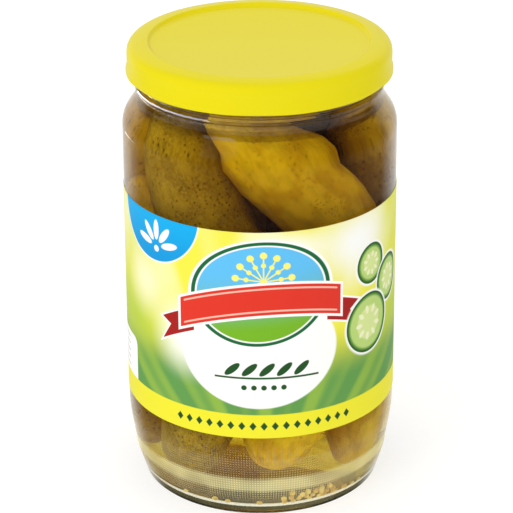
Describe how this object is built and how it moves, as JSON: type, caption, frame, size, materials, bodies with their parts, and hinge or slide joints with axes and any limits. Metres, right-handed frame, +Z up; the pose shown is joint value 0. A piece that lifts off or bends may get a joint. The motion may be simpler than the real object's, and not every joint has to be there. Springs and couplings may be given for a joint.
{
  "type": "pickle jar",
  "caption": "Shut glass jar of whole gherkins with mustard seeds in the foot, a yellow twist-off cap and a printed paper label wrapped round the body.",
  "frame": {"origin": "on the jar's axis, in the plane that the foot ring stands on", "axes": "+Z up along the jar's axis, -Y towards the label's front, +X to the right of the label"},
  "size_m": [0.0894, 0.0894, 0.152],
  "materials": {
    "glass": "clear polished soda-lime glass",
    "lid": "glossy bright yellow lacquer on tinplate",
    "label": "printed paper with a low gloss varnish, yellow and green",
    "gherkins": "wet warty pickled skin, olive to yellow-brown",
    "seeds": "wet pale yellow mustard seeds"
  },
  "bodies": {
    "root": {"jar": "glass", "lid": "lid", "label": "label", "gherkins": "gherkins", "mustard_seeds": "seeds"}
  },
  "joints": []
}
